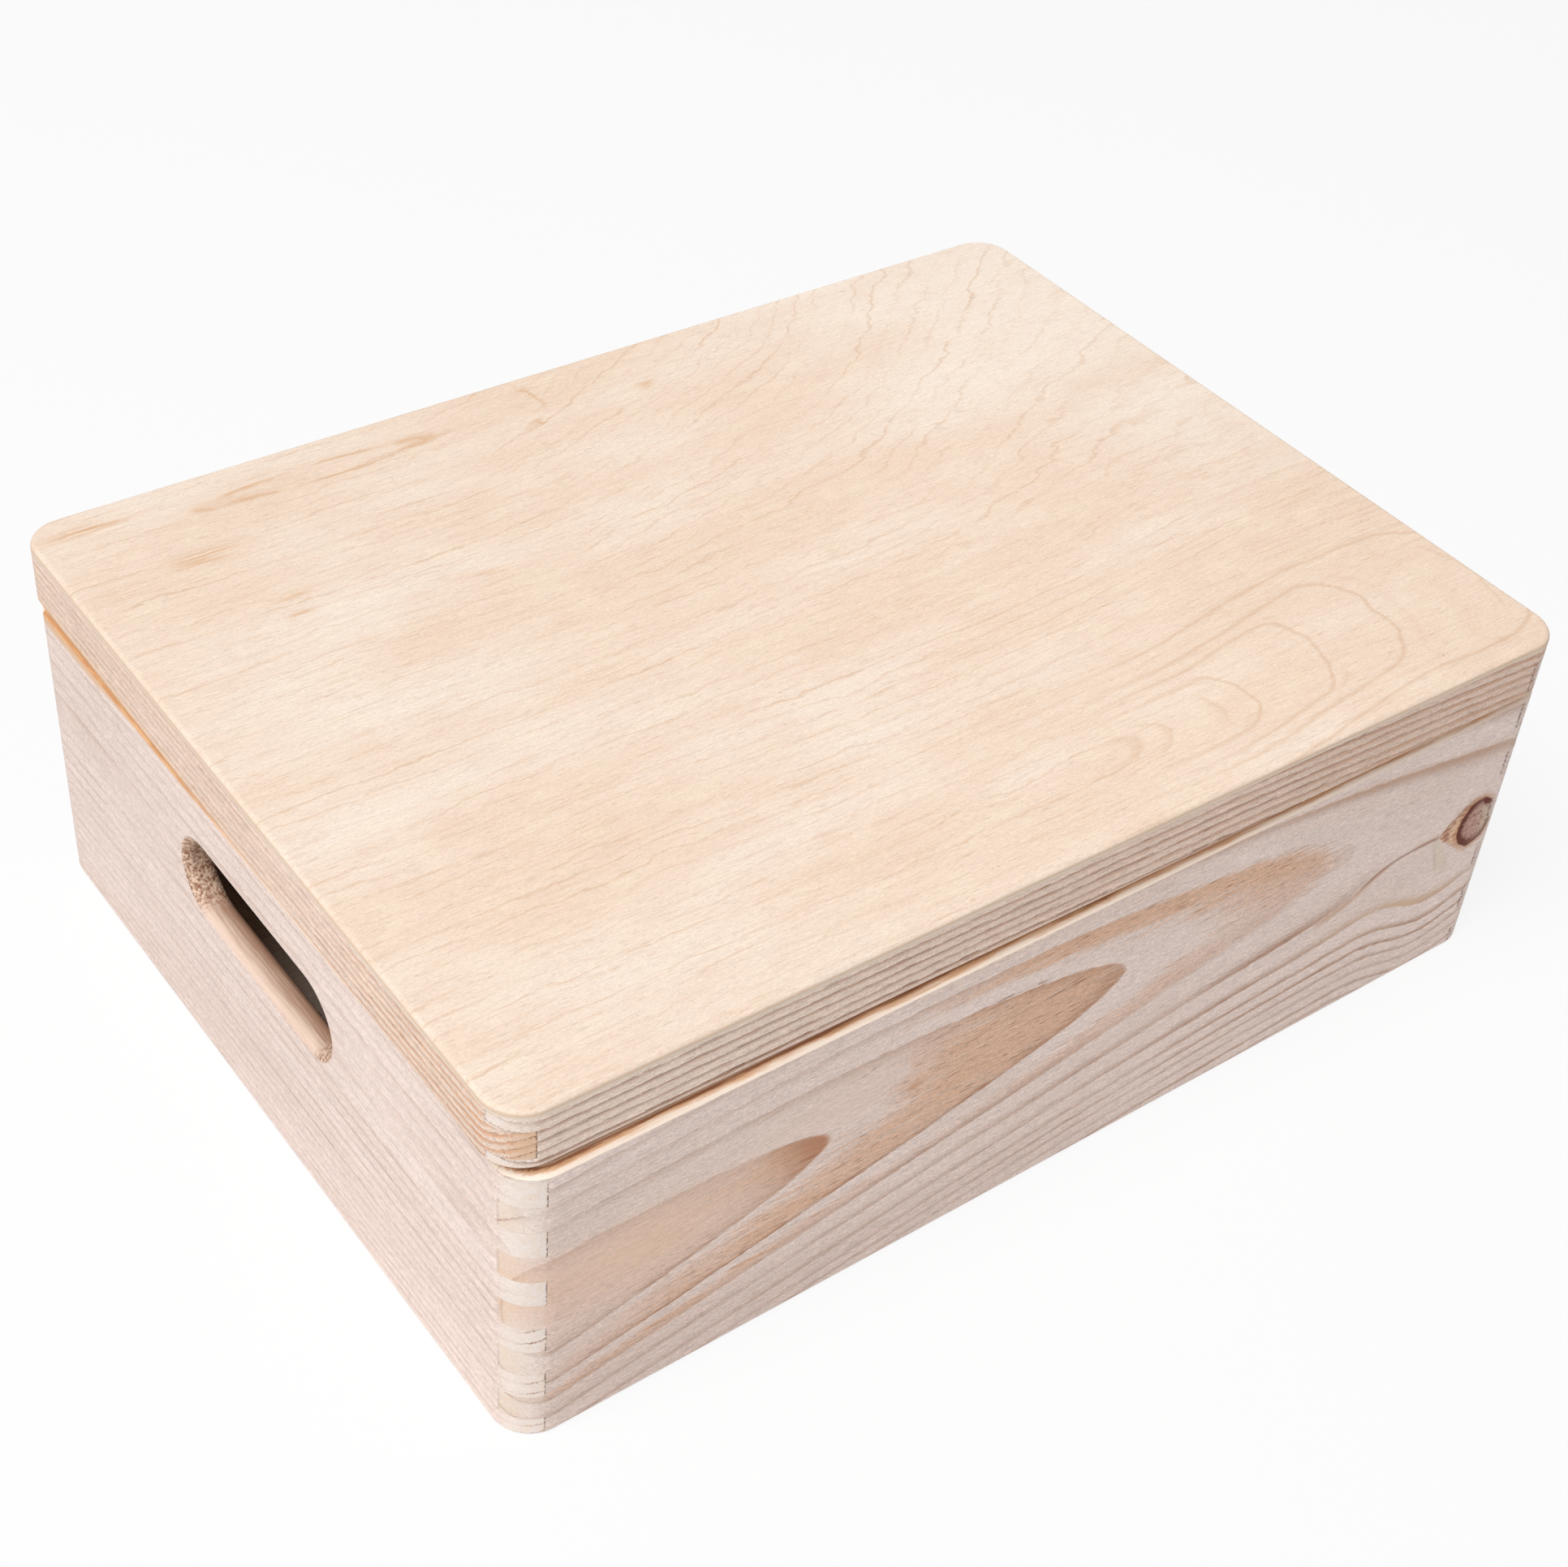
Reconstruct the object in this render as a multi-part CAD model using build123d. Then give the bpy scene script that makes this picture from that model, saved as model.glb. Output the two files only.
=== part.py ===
from build123d import *
import os

# Pine box with finger-jointed corners, two handle slots and a lid on two small butt hinges.
# Sizes are millimetres. The front faces -Y, +X runs to the right along the front and +Z is up.
# The origin is at the bottom centre of the body.

# Overall sizes
LENGTH = 400.0
DEPTH = 299.0
BODY_HEIGHT = 112.55
LID_HEIGHT = 23.15
LID_GAP = 0.3

# How the lid sits on the body: turned clockwise seen from above, and shifted to the left
LID_TURN = -0.45
LID_SHIFT = -1.5

# Boards and their outer edges
BOARD_THICKNESS = 10.0
CORNER_RADIUS = 13.0
MEETING_BEVEL = 2.4
TOP_EDGE_RADIUS = 1.8
BOTTOM_EDGE_RADIUS = 1.0

# Finger joints: the box is jointed in one piece and the lid is sawn off it afterwards
LOWEST_FINGER = 7.4
FINGER_PITCH = 10.17
FINGER_CLEARANCE = 0.1
SAW_KERF = 1.2

# Panels
LID_PANEL_THICKNESS = 2.5
BOTTOM_PANEL_THICKNESS = 4.0
BOTTOM_PANEL_RAISE = 4.0
GROOVE_DEPTH = 5.0
GROOVE_CLEARANCE = 0.15

# Handle slots in the end boards
HANDLE_LENGTH = 91.0
HANDLE_HEIGHT = 27.4
HANDLE_DROP = 35.85
HANDLE_SHIFT = -1.7
HANDLE_EDGE_RADIUS = 3.0

# Hinges
HINGE_INSET = 75.0
HINGE_LENGTH = 30.0
HINGE_AXIS_INSET = 1.2
LEAF_THICKNESS = 1.0
LEAF_TO_INSIDE = 1.8
LEAF_CORNER_RADIUS = 0.8
KNUCKLE_RADIUS = 2.0
KNUCKLE_COUNT = 5
KNUCKLE_GAP = 0.2
PIN_RADIUS = 0.9
PIN_CLEARANCE = 0.05
RECESS_CLEARANCE = 0.1
KNUCKLE_CLEARANCE = 0.3

# Screws
SCREW_SPACING = 18.0
SCREW_LENGTH = 10.0
SCREW_POINT = 3.0
SCREW_RADIUS = 1.2
SCREW_HEAD_RADIUS = 2.1
SCREW_CLEARANCE = 0.05
DRIVE_LENGTH = 2.4
DRIVE_WIDTH = 0.5
DRIVE_DEPTH = 0.7

# Rounded edges take at most this share of a board's thickness on each face
MOST_EDGE_SHARE = 0.45
# How closely an edge has to lie on a plane to be picked
MATCH = 0.001

# Levels and places worked out from the sizes above
lid_underside = BODY_HEIGHT + LID_GAP
lid_top = lid_underside + LID_HEIGHT
panel_underside = lid_top - LID_PANEL_THICKNESS
axis_y = DEPTH / 2 - HINGE_AXIS_INSET
axis_z = BODY_HEIGHT + LID_GAP / 2
hinge_x = LENGTH / 2 - HINGE_INSET
leaf_width = BOARD_THICKNESS - HINGE_AXIS_INSET - LEAF_TO_INSIDE
screw_setback = (KNUCKLE_RADIUS + leaf_width) / 2
lid_place = Pos(LID_SHIFT, 0, 0) * Rot(0, 0, LID_TURN)


def box_between(x0, x1, y0, y1, z0, z1):
    """A box given by its limits."""
    centre = Pos((x0 + x1) / 2, (y0 + y1) / 2, (z0 + z1) / 2)
    return centre * Box(x1 - x0, y1 - y0, z1 - z0)


def rounded_block(length, depth, radius, z0, z1):
    """A block with rounded vertical corners, centred on the origin in plan."""
    outline = Rectangle(length, depth)
    if radius > 0:
        outline = RectangleRounded(length, depth, radius)
    return Pos(0, 0, z0) * extrude(outline, z1 - z0)


def edges_at(solid, z):
    """The edges that lie flat at one level."""
    return solid.edges().filter_by_position(Axis.Z, z - MATCH, z + MATCH)


def finger_levels(bottom, top, lost):
    """Levels where one finger ends and the next starts, with the owner of the finger below each.

    lost is the height that the saw and the gap have taken out below this tier. The lowest finger
    belongs to the end boards, and the owners alternate above it.
    """
    spans = []
    index = 0
    low = 0.0
    high = LOWEST_FINGER
    while low - lost < top:
        clipped_low = max(low - lost, bottom)
        clipped_high = min(high - lost, top)
        if clipped_high > clipped_low:
            owner = "end" if index % 2 == 0 else "long"
            spans.append((clipped_low, clipped_high, owner))
        low = high
        high = high + FINGER_PITCH
        index = index + 1
    return spans


def corner_cutters(spans, owner, bottom, top):
    """Blocks at the four corners that clear one owner's fingers out of the other boards."""
    inward = BOARD_THICKNESS + FINGER_CLEARANCE
    outward = BOARD_THICKNESS
    size = inward + outward
    slack = FINGER_CLEARANCE / 2
    cutters = []
    for low, high, span_owner in spans:
        if span_owner != owner:
            continue
        z0 = low - slack if low > bottom else low - outward
        z1 = high + slack if high < top else high + outward
        for side_x in (-1, 1):
            for side_y in (-1, 1):
                centre_x = side_x * (LENGTH / 2 + (outward - inward) / 2)
                centre_y = side_y * (DEPTH / 2 + (outward - inward) / 2)
                cutters.append(Pos(centre_x, centre_y, (z0 + z1) / 2) * Box(size, size, z1 - z0))
    return cutters


def jointed_frame(outer, bottom, top, lost):
    """Four finger-jointed boards cut out of the outer shape of one tier of the box."""
    half_length = LENGTH / 2
    half_depth = DEPTH / 2
    inside_length = half_length - BOARD_THICKNESS
    inside_depth = half_depth - BOARD_THICKNESS
    spans = finger_levels(bottom, top, lost)
    end_fingers = corner_cutters(spans, "end", bottom, top)
    long_fingers = corner_cutters(spans, "long", bottom, top)
    slabs = {
        "front": (-half_length, half_length, -half_depth, -inside_depth),
        "back": (-half_length, half_length, inside_depth, half_depth),
        "left": (-half_length, -inside_length, -half_depth, half_depth),
        "right": (inside_length, half_length, -half_depth, half_depth),
    }
    boards = {}
    for side, limits in slabs.items():
        board = outer & box_between(*limits, bottom, top)
        cutters = end_fingers if side in ("front", "back") else long_fingers
        for cutter in cutters:
            board = board - cutter
        boards[side] = board
    return boards


def handle_cut(board, side):
    """Cut the handle slot through an end board and round its edges on both faces."""
    centre_z = BODY_HEIGHT - HANDLE_DROP
    middle_x = side * (LENGTH / 2 - BOARD_THICKNESS / 2)
    outline = Plane.YZ * SlotOverall(HANDLE_LENGTH, HANDLE_HEIGHT)
    slot = extrude(outline, BOARD_THICKNESS, both=True)
    cut = board - Pos(middle_x, HANDLE_SHIFT, centre_z) * slot

    half_length = HANDLE_LENGTH / 2 + MATCH
    half_height = HANDLE_HEIGHT / 2 + MATCH
    rim = ShapeList()
    for face_x in (LENGTH / 2, LENGTH / 2 - BOARD_THICKNESS):
        on_face = cut.edges().filter_by_position(Axis.X, side * face_x - MATCH, side * face_x + MATCH)
        in_length = on_face.filter_by_position(Axis.Y, HANDLE_SHIFT - half_length, HANDLE_SHIFT + half_length)
        rim = rim + in_length.filter_by_position(Axis.Z, centre_z - half_height, centre_z + half_height)
    return fillet(rim, min(HANDLE_EDGE_RADIUS, MOST_EDGE_SHARE * BOARD_THICKNESS))


def make_body():
    """The body's four boards and its bottom panel."""
    outer = rounded_block(LENGTH, DEPTH, CORNER_RADIUS, 0, BODY_HEIGHT)
    outer = chamfer(edges_at(outer, BODY_HEIGHT), MEETING_BEVEL)
    outer = fillet(edges_at(outer, 0), BOTTOM_EDGE_RADIUS)
    boards = jointed_frame(outer, 0, BODY_HEIGHT, 0)

    inset = BOARD_THICKNESS - GROOVE_DEPTH
    groove = rounded_block(
        LENGTH - 2 * inset,
        DEPTH - 2 * inset,
        CORNER_RADIUS - inset,
        BOTTOM_PANEL_RAISE,
        BOTTOM_PANEL_RAISE + BOTTOM_PANEL_THICKNESS + GROOVE_CLEARANCE,
    )
    for side in boards:
        boards[side] = boards[side] - groove
    boards["left"] = handle_cut(boards["left"], -1)
    boards["right"] = handle_cut(boards["right"], 1)

    shy = inset + GROOVE_CLEARANCE
    panel = rounded_block(
        LENGTH - 2 * shy,
        DEPTH - 2 * shy,
        CORNER_RADIUS - shy,
        BOTTOM_PANEL_RAISE,
        BOTTOM_PANEL_RAISE + BOTTOM_PANEL_THICKNESS,
    )
    return boards, panel


def make_lid():
    """The lid's four rails and its top panel, in place on the body."""
    outer = rounded_block(LENGTH, DEPTH, CORNER_RADIUS, lid_underside, lid_top)
    outer = chamfer(edges_at(outer, lid_underside), MEETING_BEVEL)
    outer = fillet(edges_at(outer, lid_top), TOP_EDGE_RADIUS)
    rails = jointed_frame(outer, lid_underside, panel_underside, SAW_KERF - LID_GAP)
    panel = outer & box_between(-LENGTH, LENGTH, -DEPTH, DEPTH, panel_underside, lid_top)
    placed_rails = {side: lid_place * rail for side, rail in rails.items()}
    return placed_rails, lid_place * panel


def along_x(radius, x0, x1):
    """A cylinder along the hinge axis."""
    return Pos((x0 + x1) / 2, 0, 0) * Rot(0, 90, 0) * Cylinder(radius, x1 - x0)


def knuckle_spans():
    """Start and end of each knuckle along the hinge."""
    length = (HINGE_LENGTH - (KNUCKLE_COUNT - 1) * KNUCKLE_GAP) / KNUCKLE_COUNT
    starts = [-HINGE_LENGTH / 2 + index * (length + KNUCKLE_GAP) for index in range(KNUCKLE_COUNT)]
    return [(start, start + length) for start in starts]


def screw_places():
    """The two screws of a leaf, along the hinge."""
    return (-SCREW_SPACING / 2, SCREW_SPACING / 2)


def screw(extra=0.0):
    """A countersunk screw that points down, with its head's face at the origin.

    extra makes the same shape larger all round, as the hole that the screw needs.
    """
    top_radius = SCREW_HEAD_RADIUS + extra
    shank_radius = SCREW_RADIUS + extra
    head = Pos(0, 0, -LEAF_THICKNESS / 2) * Cone(shank_radius, top_radius, LEAF_THICKNESS)
    straight = SCREW_LENGTH - LEAF_THICKNESS - SCREW_POINT
    shank = Pos(0, 0, -LEAF_THICKNESS - straight / 2) * Cylinder(shank_radius, straight)
    point_top = -LEAF_THICKNESS - straight
    point = Pos(0, 0, point_top - SCREW_POINT / 2) * Cone(extra, shank_radius, SCREW_POINT)
    return head + shank + point


def drive_recess():
    """The cross recess in a screw's head."""
    across = Box(DRIVE_LENGTH, DRIVE_WIDTH, 2 * DRIVE_DEPTH)
    return across + Rot(0, 0, 90) * across


def leaf(side):
    """A hinge leaf on the hinge axis, with its knuckles and countersunk holes."""
    half_gap = LID_GAP / 2
    plate = RectangleRounded(HINGE_LENGTH, 2 * leaf_width, LEAF_CORNER_RADIUS)
    plate = Pos(0, 0, -half_gap - LEAF_THICKNESS) * extrude(plate, LEAF_THICKNESS)
    plate = plate & box_between(-HINGE_LENGTH, HINGE_LENGTH, -2 * leaf_width, 0, -BODY_HEIGHT, BODY_HEIGHT)
    if side > 0:
        plate = mirror(plate, about=Plane.XY)
    own = 0 if side < 0 else 1
    spans = knuckle_spans()
    for index, (start, end) in enumerate(spans):
        if index % 2 != own:
            relief = along_x(KNUCKLE_RADIUS + KNUCKLE_CLEARANCE, start - KNUCKLE_GAP, end + KNUCKLE_GAP)
            plate = plate - relief
    for index, (start, end) in enumerate(spans):
        if index % 2 == own:
            plate = plate + along_x(KNUCKLE_RADIUS, start, end)
    plate = plate - along_x(PIN_RADIUS + PIN_CLEARANCE, -HINGE_LENGTH, HINGE_LENGTH)
    for x in screw_places():
        plate = plate - screw_place(x, side) * screw(SCREW_CLEARANCE)
    return plate


def screw_place(x, side):
    """Where a screw's head lies, on the hinge axis frame: it points down (-1) or up (1)."""
    place = Pos(x, -screw_setback, side * LID_GAP / 2)
    return place if side < 0 else place * Rot(180, 0, 0)


def leaf_screws(side):
    """The two screws of a leaf."""
    screws = Part()
    for x in screw_places():
        screws = screws + screw_place(x, side) * (screw() - drive_recess())
    return screws


def leaf_seat(side):
    """What is cut out of the wood for a leaf, its knuckles and its screws."""
    half = HINGE_LENGTH / 2 + RECESS_CLEARANCE
    depth = LID_GAP / 2 + LEAF_THICKNESS
    recess = box_between(-half, half, -leaf_width - RECESS_CLEARANCE, 0, -depth, depth)
    seat = recess + along_x(KNUCKLE_RADIUS + KNUCKLE_CLEARANCE, -half, half)
    for x in screw_places():
        seat = seat + screw_place(x, side) * screw(SCREW_CLEARANCE)
    return seat


def hinge_pin():
    """The pin that both leaves turn on."""
    return along_x(PIN_RADIUS, -HINGE_LENGTH / 2, HINGE_LENGTH / 2)


def make_all():
    """Every piece of the box, by name."""
    boards, bottom_panel = make_body()
    rails, lid_panel = make_lid()
    pieces = {}
    for name, x in (("left", -hinge_x), ("right", hinge_x)):
        place = Pos(x, axis_y, axis_z)
        boards["back"] = boards["back"] - place * leaf_seat(-1)
        rails["back"] = rails["back"] - place * leaf_seat(1)
        pieces[name + "_hinge_body_leaf"] = place * leaf(-1)
        pieces[name + "_hinge_lid_leaf"] = place * leaf(1)
        pieces[name + "_hinge_pin"] = place * hinge_pin()
        pieces[name + "_hinge_body_screws"] = place * leaf_screws(-1)
        pieces[name + "_hinge_lid_screws"] = place * leaf_screws(1)
    pieces["front_board"] = boards["front"]
    pieces["back_board"] = boards["back"]
    pieces["left_end_board"] = boards["left"]
    pieces["right_end_board"] = boards["right"]
    pieces["bottom_panel"] = bottom_panel
    for side, rail in rails.items():
        pieces["lid_" + side + "_rail"] = rail
    pieces["lid_panel"] = lid_panel
    return pieces


os.makedirs("parts", exist_ok=True)
for node, shape in make_all().items():
    export_step(shape, "parts/" + node + ".step")
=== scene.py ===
import math

import bpy
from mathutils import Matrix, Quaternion, Vector


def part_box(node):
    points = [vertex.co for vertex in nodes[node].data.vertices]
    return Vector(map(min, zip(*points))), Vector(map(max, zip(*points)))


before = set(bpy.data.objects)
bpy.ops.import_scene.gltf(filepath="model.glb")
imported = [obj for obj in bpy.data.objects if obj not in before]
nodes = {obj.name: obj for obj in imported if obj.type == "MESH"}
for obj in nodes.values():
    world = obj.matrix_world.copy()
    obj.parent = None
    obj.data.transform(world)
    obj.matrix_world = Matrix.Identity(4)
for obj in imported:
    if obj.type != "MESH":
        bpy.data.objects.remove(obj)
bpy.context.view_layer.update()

scene = bpy.context.scene
MM = 1000.0

# Sizes of the box that the materials follow, in millimetres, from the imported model
front_low, front_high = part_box("front_board")
back_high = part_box("back_board")[1]
panel_low, panel_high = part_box("lid_panel")
bottom_low, bottom_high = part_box("bottom_panel")
LENGTH = (front_high.x - front_low.x) * MM
DEPTH = (back_high.y - front_low.y) * MM
BODY_HEIGHT = front_high.z * MM
LID_TOP = panel_high.z * MM
LID_PANEL_THICKNESS = (panel_high.z - panel_low.z) * MM
BOTTOM_PANEL_TOP = bottom_high.z * MM
BOTTOM_PANEL_THICKNESS = (bottom_high.z - bottom_low.z) * MM

# Sizes and places that the boxes of the nodes don't give, in millimetres, and the lid's turn
LID_SHIFT = -1.5
LID_TURN = math.radians(-0.45)
LID_GAP = 0.3
BOARD_THICKNESS = 10.0
MEETING_BEVEL = 2.4
LOWEST_FINGER = 7.4
FINGER_PITCH = 10.17
SLOT_MIDDLE_Y = -1.7
SLOT_MIDDLE_Z = 76.7
SLOT_HALF_LENGTH = 45.5
SLOT_HALF_HEIGHT = 13.7
SLOT_EDGE_RADIUS = 3.0


# Formulas as shader nodes

def math_function(operation):
    """A function that makes a math node of that operation. Its first value is a formula."""
    return lambda first, *others: math_node(first.tree, operation, first, *others)


class Num:
    """A number, point or colour in a material's node tree. Sums of these make math nodes."""

    def __init__(self, tree, socket):
        self.tree = tree
        self.socket = socket

    __add__ = __radd__ = math_function("ADD")
    __sub__ = math_function("SUBTRACT")
    __mul__ = __rmul__ = math_function("MULTIPLY")
    __truediv__ = math_function("DIVIDE")

    def __rsub__(self, other):
        return math_node(self.tree, "SUBTRACT", other, self)

    def __neg__(self):
        return self * -1.0


def feed(tree, target, value):
    """Puts a number, colour or wire into a node's input."""
    if isinstance(value, Num):
        tree.links.new(value.socket, target)
    else:
        target.default_value = value


def math_node(tree, operation, *values, clamp=False):
    node = tree.nodes.new("ShaderNodeMath")
    node.operation = operation
    node.use_clamp = clamp
    for index, value in enumerate(values):
        feed(tree, node.inputs[index], value)
    return Num(tree, node.outputs[0])


root = math_function("SQRT")
absolute = math_function("ABSOLUTE")
fraction = math_function("FRACT")
floor_of = math_function("FLOOR")
power = math_function("POWER")
exponential = math_function("EXPONENT")
largest = math_function("MAXIMUM")
smallest = math_function("MINIMUM")


def clamped(a):
    """a, held between 0 and 1."""
    return math_node(a.tree, "ADD", a, 0.0, clamp=True)


def bell(a, half_width=1.0):
    """1 where a is 0, falling to nothing past twice the half width on both sides."""
    if half_width != 1.0:
        a = a * (1.0 / half_width)
    return exponential(-(a * a))


def softly_positive(a, width):
    """a where it is well above 0, and 0 where it is well below, with a bend of that width."""
    return (a + root(a * a + width * width)) * 0.5


def smooth(start, end, a):
    """0 at start and 1 at end, smooth between. start may be above end."""
    node = a.tree.nodes.new("ShaderNodeMapRange")
    node.interpolation_type = "SMOOTHSTEP"
    falls = start > end
    feed(a.tree, node.inputs["Value"], a)
    node.inputs["From Min"].default_value = end if falls else start
    node.inputs["From Max"].default_value = start if falls else end
    node.inputs["To Min"].default_value = 1.0 if falls else 0.0
    node.inputs["To Max"].default_value = 0.0 if falls else 1.0
    return Num(a.tree, node.outputs["Result"])


def polynomial(a, factors):
    """factors[0] + factors[1] * a + factors[2] * a * a and so on."""
    total = factors[-1]
    for factor in reversed(factors[:-1]):
        total = a * total + factor
    return total


def noise(x, y, z, detail=2.0, roughness=0.5):
    """Smooth noise about 0, mostly between -0.25 and 0.25."""
    where = x.tree.nodes.new("ShaderNodeCombineXYZ")
    for target, value in zip(where.inputs, (x, y, z)):
        feed(x.tree, target, value)
    node = x.tree.nodes.new("ShaderNodeTexNoise")
    x.tree.links.new(where.outputs[0], node.inputs["Vector"])
    node.inputs["Scale"].default_value = 1.0
    node.inputs["Detail"].default_value = detail
    node.inputs["Roughness"].default_value = roughness
    return Num(x.tree, node.outputs["Fac"]) - 0.5


def random_of(a, seed):
    """A number from 0 to 1 for each whole number."""
    node = a.tree.nodes.new("ShaderNodeTexWhiteNoise")
    node.noise_dimensions = "1D"
    feed(a.tree, node.inputs["W"], a + seed)
    return Num(a.tree, node.outputs["Value"])


def curve_of(a, points):
    """A smooth curve through points, as a function of a."""
    x_start = points[0][0]
    x_span = points[-1][0] - x_start
    y_top = max(y for x, y in points)
    node = a.tree.nodes.new("ShaderNodeFloatCurve")
    curve = node.mapping.curves[0]
    while len(curve.points) < len(points):
        curve.points.new(0.5, 0.5)
    for handle, (x, y) in zip(curve.points, points):
        handle.location = ((x - x_start) / x_span, y / y_top)
    node.mapping.extend = "EXTRAPOLATED"
    node.mapping.update()
    feed(a.tree, node.inputs["Value"], (a - x_start) * (1.0 / x_span))
    return Num(a.tree, node.outputs["Value"]) * y_top


def colour(tone):
    """A formula as it is, or a tone, three sRGB values from 0 to 255, as linear values."""
    if isinstance(tone, Num):
        return tone
    linear = []
    for value in tone:
        share = value / 255.0
        linear.append(share / 12.92 if share <= 0.04045 else ((share + 0.055) / 1.055) ** 2.4)
    return (*linear, 1.0)


def mix_colour(share, a, b, kind="MIX"):
    """Colour a where share is 0 and b where it is 1. Each is a formula or a tone."""
    tree = next(value.tree for value in (share, a, b) if isinstance(value, Num))
    node = tree.nodes.new("ShaderNodeMix")
    node.data_type = "RGBA"
    node.blend_type = kind
    node.clamp_factor = True
    feed(tree, node.inputs[0], share)
    feed(tree, node.inputs[6], colour(a))
    feed(tree, node.inputs[7], colour(b))
    return Num(tree, node.outputs[2])


def brightened(base, amount):
    """A colour times a number."""
    node = base.tree.nodes.new("ShaderNodeVectorMath")
    node.operation = "SCALE"
    feed(base.tree, node.inputs[0], base)
    feed(base.tree, node.inputs["Scale"], amount)
    return Num(base.tree, node.outputs[0])


def ovals(u, v, places):
    """Soft ovals added up. Each place is (u, v, half length, half width, slope, strength)."""
    total = None
    for middle_u, middle_v, half_length, half_width, slope, strength in places:
        a = (u - middle_u) * (1.0 / half_length)
        b = (v - (u - middle_u) * slope - middle_v) * (1.0 / half_width)
        oval = exponential(-(a * a + b * b)) * strength
        total = oval if total is None else total + oval
    return total


def stroke(u, v, points, half_width, fade=6.0):
    """A soft line drawn along the grain through points."""
    along = smooth(points[0][0], points[0][0] + fade, u) * smooth(points[-1][0], points[-1][0] - fade, u)
    return bell(v - curve_of(u, points), half_width) * along


# Specular levels
WOOD_GLOSS = 0.2
BRASS_GLOSS = 0.5


class Surface:
    """A material under construction: its tree, its shader and where a point of it lies."""

    def __init__(self, name):
        self.material = bpy.data.materials.new(name)
        self.material.use_nodes = True
        self.tree = self.material.node_tree
        self.tree.nodes.clear()
        output = self.tree.nodes.new("ShaderNodeOutputMaterial")
        self.shader = self.tree.nodes.new("ShaderNodeBsdfPrincipled")
        self.tree.links.new(self.shader.outputs[0], output.inputs["Surface"])
        source = self.tree.nodes.new("ShaderNodeTexCoord")
        self.x, self.y, self.z = self.split(source.outputs["Object"], MM)
        self.nx, self.ny, self.nz = self.split(source.outputs["Normal"], 1.0)

    def split(self, socket, scale):
        """The three parts of a vector, each times scale."""
        node = self.tree.nodes.new("ShaderNodeSeparateXYZ")
        self.tree.links.new(socket, node.inputs[0])
        return [Num(self.tree, output) * scale for output in node.outputs]

    def lid_place(self):
        """The point in the lid's own frame: the lid is a little turned and shifted on the body."""
        x = self.x - LID_SHIFT
        c, s = math.cos(LID_TURN), math.sin(LID_TURN)
        return x * c + self.y * s, self.y * c - x * s

    def finish(self, base, roughness, height, bump_mm, strength, metallic=0.0, specular=WOOD_GLOSS):
        """Wires the colour, roughness and bump to the shader. height is the bump's formula."""
        feed(self.tree, self.shader.inputs["Base Color"], base)
        feed(self.tree, self.shader.inputs["Roughness"], roughness)
        self.shader.inputs["Metallic"].default_value = metallic
        self.shader.inputs["Specular IOR Level"].default_value = specular
        bump = self.tree.nodes.new("ShaderNodeBump")
        bump.inputs["Strength"].default_value = strength
        bump.inputs["Distance"].default_value = bump_mm / MM
        feed(self.tree, bump.inputs["Height"], height)
        self.tree.links.new(bump.outputs["Normal"], self.shader.inputs["Normal"])
        return self.material


class Wood:
    """What boards and panels share: a surface that is painted step by step."""

    def paint(self, share, tone, kind="MIX"):
        """Lays a colour over what is painted so far, where share is above 0."""
        self.base = mix_colour(clamped(share), self.base, tone, kind)

    def finish(self):
        roughness = self.roughness + self.fine * 0.1
        return self.surface.finish(self.base, roughness, self.height, self.bump_mm, self.bump_strength)


# Pine

# Tones of bare pine: early wood, the tan wide bands of a flame, late wood and the darkest streaks
PINE = ((244, 225, 216), (231, 190, 162), (187, 147, 123), (166, 114, 84))
BROWN_PINE = ((247, 226, 211), (228, 188, 158), (166, 126, 104), (150, 104, 78))
ORANGE_PINE = ((243, 219, 202), (230, 180, 144), (192, 140, 110), (168, 112, 80))
# Sawn ends: the wood between the rings, and the rings
END_PALE = ((250, 238, 231), (150, 96, 62))
END_TAN = ((246, 229, 215), (160, 104, 68))
END_WARM = ((237, 202, 174), (150, 96, 60))
FINGER_PALE = (250, 241, 231)
JOINT_DIRT = (110, 78, 62)
RIGHT_JOINT_DIRT = (108, 62, 56)
# The bevel sawn along the seam: its pale edge, the wood's cream painted brighter where the lid shades it, its
# middle and the wood beside the gap, in painted shade and warm bounce light, and its flat part
BEVEL_PAINTED_LIT_PALE = (255, 237, 220)
BEVEL_SHADE_TAN = (222, 164, 112)
BEVEL_SHADE_BROWN = (154, 96, 58)
BEVEL_FLAT = (250, 230, 206)
# An orange band of painted shade and warm bounce light along the seam: its darker and lighter patches
SEAM_SHADE_DARK = (206, 150, 104)
SEAM_SHADE_LIGHT = (236, 188, 138)
# The hand slot: torn fibres at its ends, and its wall from the outside in, darker inward as painted shade
# deeper in the slot
TORN_DARK = (142, 86, 54)
TORN_PALE = (244, 214, 190)
WALL_OUTER = (232, 206, 188)
WALL_INNER_SHADE = (168, 126, 100)

# How strongly the unevenness of the grain moves the rings
BEND_REACH = 6.0
RIPPLE_REACH = 1.6
RIPPLE_DEPTH_REACH = 1.2
FIBRE_REACH = 2.4
FINE_REACH = 0.8

# Where things begin or are full, as shares of a ring's width
BROWN_BEGINS = 0.42
BROWN_FULL = 0.70
LATE_BEGINS = 0.45
LATE_FULL = 0.95
OUTLINE_BEGINS = 0.84
RING_ENDS = 0.975

# How far from the joint's line the dirt on a finger's end begins and is full, and how far inside
# the right joint it lies on the long boards
DIRT_BEGINS = 0.9
DIRT_FULL = 0.5
RIGHT_DIRT_SETBACK = 1.6


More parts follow.
